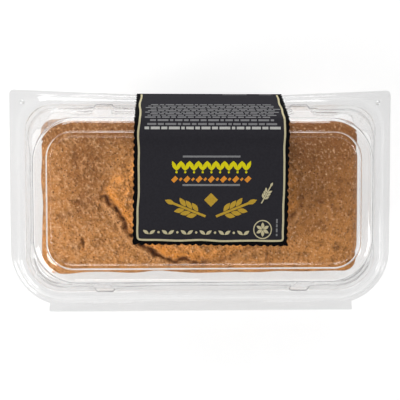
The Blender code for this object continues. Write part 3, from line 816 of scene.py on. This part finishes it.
def make_label(path, material):
    """The paper itself, with its torn edges at the front and both sides."""
    bm = bmesh.new()
    total = path.lengths[-1]
    rim_layer = bm.verts.layers.float.new("rim")
    rows = int(total / LABEL_PITCH)
    bmesh.ops.create_grid(bm, x_segments=LABEL_COLUMNS, y_segments=rows, size=0.5)
    for vert in bm.verts:
        across = vert.co.x * LABEL_WIDTH
        along = (vert.co.y + 0.5) * total
        left = smoothstep(-0.46, -0.5, vert.co.x) * deckle(along, 0.4)
        right = smoothstep(0.46, 0.5, vert.co.x) * deckle(along, 1.9)
        front = smoothstep(0.003, 0.0, along) * deckle(across, 3.1)
        vert.co = path.place(across + left - right, along + front, 0.0)
        vert[rim_layer] = 1.0 if min(LABEL_WIDTH / 2 - abs(across), along) < LABEL_RIM else 0.0
    bmesh.ops.recalc_face_normals(bm, faces=bm.faces)
    top_face = max(bm.faces, key=lambda face: face.calc_center_median().z)
    if top_face.normal.z < 0:
        bmesh.ops.reverse_faces(bm, faces=bm.faces)
    piece = make_piece("paper_label", bm, material, "label")
    thicken(piece, PAPER, 1)
    return piece


def stamp(bm, place, size, turn=0.0, corners=16, pointed=0.0):
    """Print a flat shape: a disc, a leaf where pointed is near 1, or a bar where it has 4 corners."""
    made = bmesh.ops.create_circle(bm, cap_ends=True, segments=corners, radius=1.0)["verts"]
    angle = math.radians(turn)
    for vert in made:
        x, y = vert.co.x, vert.co.y
        if corners == 4:
            x, y = x - y, x + y
        y *= 1 - pointed * x * x
        x *= size[0] / 2
        y *= size[1] / 2
        vert.co = (place[0] + x * math.cos(angle) - y * math.sin(angle),
                   place[1] + x * math.sin(angle) + y * math.cos(angle), len(bm.faces) * INK_STEP)


def ribbon(bm, points, width):
    """Print a line of even width through points."""
    sides = []
    for number, (x, y) in enumerate(points):
        x_ahead, y_ahead = points[min(number + 1, len(points) - 1)]
        x_back, y_back = points[max(number - 1, 0)]
        run = math.hypot(x_ahead - x_back, y_ahead - y_back)
        off_x = -(y_ahead - y_back) / run * width / 2
        off_y = (x_ahead - x_back) / run * width / 2
        sides.append(((x + off_x, y + off_y, 0.0), (x - off_x, y - off_y, 0.0)))
    chain = [bm.verts.new(left) for left, _ in sides]
    for a, b in zip(chain, chain[1:]):
        bm.edges.new((a, b))
    extrude_run(bm, chain, [right for _, right in sides])


def wheat_ear(bm, start, length, turn, grain):
    """An ear of wheat: a stalk with pairs of grains and one at its tip."""
    angle = math.radians(turn)
    run = Vector((math.cos(angle), math.sin(angle)))
    side = Vector((-run.y, run.x))
    root = Vector(start)
    stamp(bm, root + run * length / 2, (length, grain * 0.22), turn, 4)
    pairs = int(length * 0.62 / (grain * 0.62))
    for number in range(pairs):
        at = root + run * (length * 0.38 + number * grain * 0.62)
        for way in (-1, 1):
            stamp(bm, at + side * way * grain * 0.42, (grain, grain * 0.46), turn + way * 32, 12, 0.8)
    stamp(bm, root + run * (length + grain * 0.35), (grain, grain * 0.46), turn, 12, 0.8)


def border_points(path):
    """The drawn border: up one side from the flange, along the front and back again."""
    half_width = LABEL_WIDTH / 2 - LABEL_RIM
    front = LABEL_RIM
    back = next(a for a, p in zip(path.lengths, path.points) if p.z < SEAM_HEIGHT + 0.0030)
    corners = soften([(-half_width, back), (-half_width, front), (half_width, front), (half_width, back)],
                     0.0018)
    points = []
    for a, b in zip(corners, corners[1:]):
        steps = max(1, round(math.dist(a, b) / 0.0008))
        for step in range(steps):
            across, along = between(a, b, step / steps)
            sway_across = 0.0007 * noise.noise(Vector((across, along, 0.0)) / 0.012)
            sway_along = 0.0007 * noise.noise(Vector((across, along, 0.1)) / 0.012)
            points.append((across + sway_across, along + sway_along))
    return points


def finish_print(path, bm, name, material):
    """Lay flat printed shapes on the label's paper and give the ink its thickness."""
    for vert in bm.verts:
        vert.co = path.place(vert.co.x, vert.co.y, PAPER + INK + vert.co.z)
    bmesh.ops.recalc_face_normals(bm, faces=bm.faces)
    upside_down = [face for face in bm.faces if face.normal.z < 0]
    bmesh.ops.reverse_faces(bm, faces=upside_down)
    piece = make_piece(name, bm, material, None, flat=True)
    thicken(piece, INK, -1)
    return piece


def make_print(path):
    """A generic design in the label's colours: rules, leaves, grains and a drawn border."""
    cream = bmesh.new()
    ribbon(cream, border_points(path), 0.0011)
    for number in range(17):
        across = -0.0370 + number * 0.0036
        if number % 3 == 2:
            stamp(cream, (across, 0.0072), (0.0014, 0.0014), 0, 12)
        else:
            lean = 35 if number % 3 else -35
            stamp(cream, (across, 0.0072), (0.0042, 0.0019), lean, 14, 0.8)
    for petal in range(6):
        turn = petal * 60 + 30
        angle = math.radians(turn)
        stamp(cream, (0.0300 + 0.0022 * math.cos(angle), 0.0092 + 0.0022 * math.sin(angle)),
              (0.0038, 0.0019), turn, 14, 0.8)
    ring = [(0.0300 + 0.0051 * math.cos(a * math.pi / 18), 0.0092 + 0.0051 * math.sin(a * math.pi / 18))
            for a in range(37)]
    ribbon(cream, ring, 0.0006)
    wheat_ear(cream, (0.0290, 0.0240), 0.0110, 62, 0.0030)
    finish_print(path, cream, "print_cream", printed_paper("cream ink on paper", "D2C8A2", 0.5))

    yellow = bmesh.new()
    for number in range(9):
        across = -0.0200 + number * 0.0050
        for way in (-1, 1):
            stamp(yellow, (across + way * 0.0013, 0.0455), (0.0062, 0.0023), 90 - way * 24, 16, 0.8)
        stamp(yellow, (across, 0.0418), (0.0013, 0.0013), 0, 12)
    finish_print(path, yellow, "print_yellow", printed_paper("yellow ink on paper", "E9DC1E", 0.5))

    orange = bmesh.new()
    for number in range(13):
        across = -0.0210 + number * 0.0035
        size = 0.0034 if number % 2 == 0 else 0.0018
        stamp(orange, (across, 0.0378), (size, size * 0.7), 45, 4)
    finish_print(path, orange, "print_orange", printed_paper("orange ink on paper", "EE9A3A", 0.5))

    silver = bmesh.new()
    grey = bmesh.new()
    for along in (0.0508, 0.0345):
        stamp(grey, (0.0, along), (0.0330, 0.0011), 0, 4)
    for number, length in enumerate((0.0012, 0.0021, 0.0016, 0.0024)):
        stamp(grey, (0.0382, 0.0062 + number * 0.0026), (0.0009, length), 0, 4)
    flange_end = path.length_at(FLANGE_BACK - 0.0002)
    for across, length in ((0.0155, 0.0150), (0.0345, 0.0075)):
        stamp(grey, (across, flange_end - 0.0012), (length, 0.0010), 0, 4)
    rule_start = path.length_at(LID_BACK)
    for row in range(12):
        across = -0.0385 + 0.0015 * (row % 3)
        number = row * 7
        while across < 0.0370 - 0.0012 * (row % 4):
            width = (0.0026, 0.0051, 0.0034, 0.0062, 0.0019, 0.0043)[number % 6]
            ink, height = (grey, 0.0012) if row else (silver, 0.0016)
            stamp(ink, (across + width / 2, rule_start + 0.0027 + row * 0.0024), (width, height), 0, 4)
            across += width + 0.0009
            number += 1
    finish_print(path, silver, "print_silver", printed_paper("silver grey ink on paper", "C6C6C2", 0.5))
    finish_print(path, grey, "print_grey", printed_paper("grey ink on paper", "8A8A8C", 0.5))

    gold = bmesh.new()
    wheat_ear(gold, (-0.0030, 0.0165), 0.0200, 158, 0.0062)
    wheat_ear(gold, (0.0030, 0.0165), 0.0200, 22, 0.0062)
    stamp(gold, (0.0, 0.0260), (0.0056, 0.0056), 45, 4)
    finish_print(path, gold, "print_gold", printed_paper("gold ink on paper", "C7A23C", 0.45))


# Room


def make_room():
    """A pale floor, a soft sky that is dark overhead, four softboxes and the camera."""
    bm = bmesh.new()
    bmesh.ops.create_grid(bm, x_segments=1, y_segments=1, size=FLOOR_HALF_WIDTH)
    mesh = bpy.data.meshes.new("floor")
    bm.to_mesh(mesh)
    bm.free()
    mesh.materials.append(light_table())
    floor = bpy.data.objects.new("floor", mesh)
    bpy.context.collection.objects.link(floor)

    world = bpy.data.worlds.new("soft sky")
    world.use_nodes = True
    sky = world.node_tree.nodes["Background"]
    sky.inputs["Color"].default_value = (1.0, 1.0, 1.0, 1.0)
    way = add_node(world, "ShaderNodeTexCoord").outputs["Generated"]
    rise = add_node(world, "ShaderNodeSeparateXYZ", {"Vector": way}).outputs["Z"]
    strength = add_node(world, "ShaderNodeMapRange", {
        "Value": rise, "From Min": 0.15, "From Max": 0.75, "To Min": SKY_HORIZON, "To Max": SKY_OVERHEAD,
    }, interpolation_type="SMOOTHSTEP").outputs[0]
    world.node_tree.links.new(strength, sky.inputs["Strength"])
    bpy.context.scene.world = world

    for name, (place, width, height, power) in SOFTBOXES.items():
        light = bpy.data.lights.new(name, "AREA")
        light.shape = "RECTANGLE"
        light.size = width
        light.size_y = height
        light.energy = power
        lamp = bpy.data.objects.new(name, light)
        lamp.location = place
        lamp.rotation_euler = (Vector(place) - Vector(LIGHT_AIM)).to_track_quat("Z", "Y").to_euler()
        bpy.context.collection.objects.link(lamp)

    camera = bpy.data.cameras.new("camera")
    camera.lens = CAMERA_LENS
    camera.sensor_width = CAMERA_SENSOR
    camera.clip_start = 0.01
    holder = bpy.data.objects.new("camera", camera)
    holder.location = CAMERA_PLACE
    holder.rotation_euler = CAMERA_TURN
    bpy.context.collection.objects.link(holder)
    bpy.context.scene.camera = holder
    bpy.context.scene.view_settings.view_transform = "Standard"


def main():
    """Make the room, then the clamshell, the cake, and the label with its print."""
    make_room()
    sheet = clear_sheet()
    make_clamshell(sheet)
    make_studs(sheet)
    make_cake(baked_crust())
    path = LabelPath()
    make_label(path, printed_paper("black printed paper", "323136", 0.8, "0E0E10"))
    make_print(path)


main()
